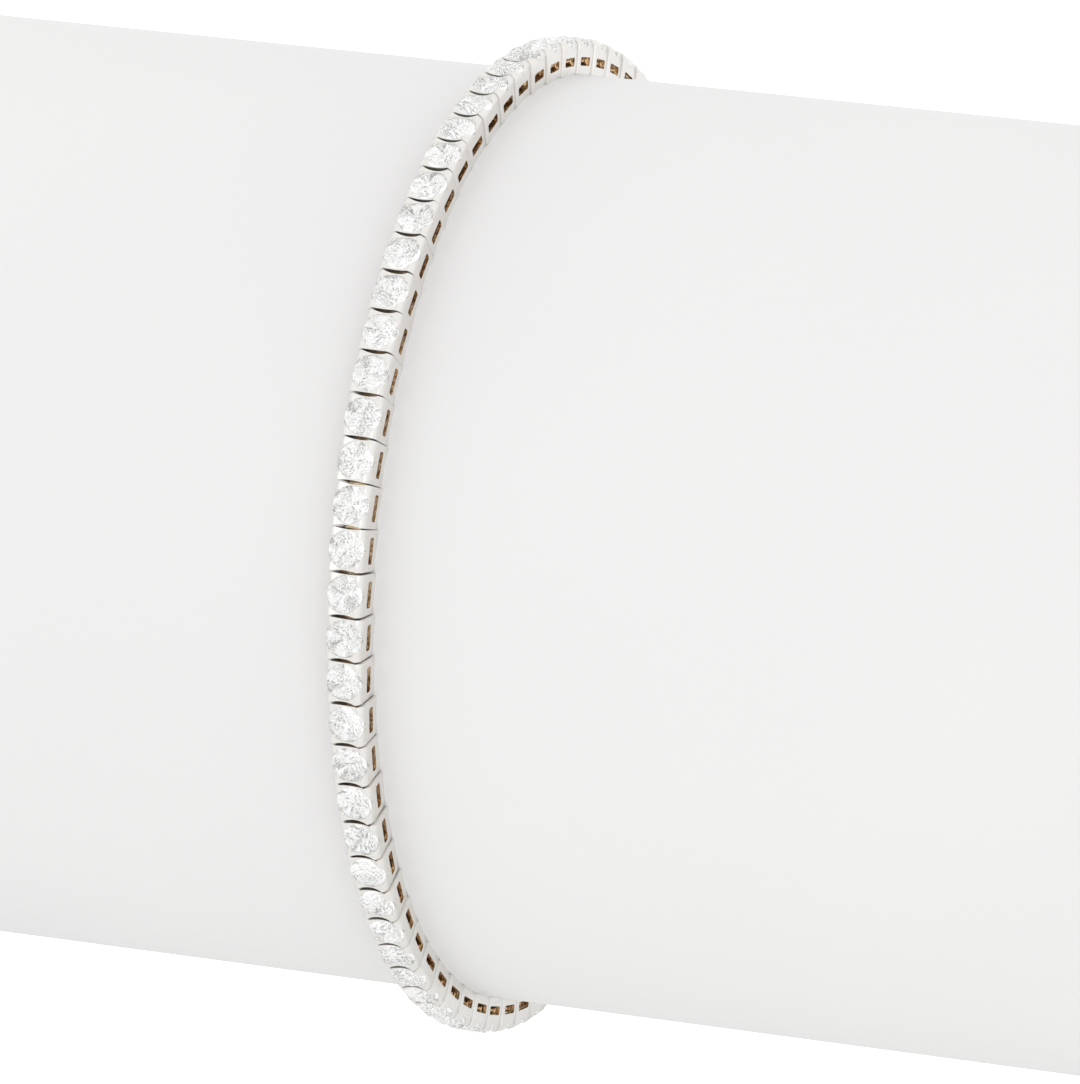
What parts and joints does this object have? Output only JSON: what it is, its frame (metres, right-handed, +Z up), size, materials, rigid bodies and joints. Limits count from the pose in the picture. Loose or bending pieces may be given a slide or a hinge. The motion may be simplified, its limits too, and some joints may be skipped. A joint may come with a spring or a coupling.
{
  "type": "tennis bracelet on a display roll",
  "caption": "Line bracelet of small box links, each set with a round stone, closed round a plain off-white display roll that lies on its side, with a plain box clasp behind.",
  "frame": {"origin": "under the middle of the roll's length and width, level with the lowest link of the bracelet", "axes": "+Z up, +X along the roll, -Y to the front of the bracelet, with the clasp at the back on +Y"},
  "size_m": [0.1, 0.0584, 0.0584],
  "materials": {
    "roll_plastic": "matte off-white",
    "white_gold": "rhodium-plated white gold, polished",
    "bare_gold": "unplated gold alloy inside the links, satin",
    "diamond": "cut and polished"
  },
  "bodies": {
    "root": {"display_roll": "roll_plastic", "link_line": "white_gold", "box_clasp": "white_gold"}
  },
  "joints": []
}
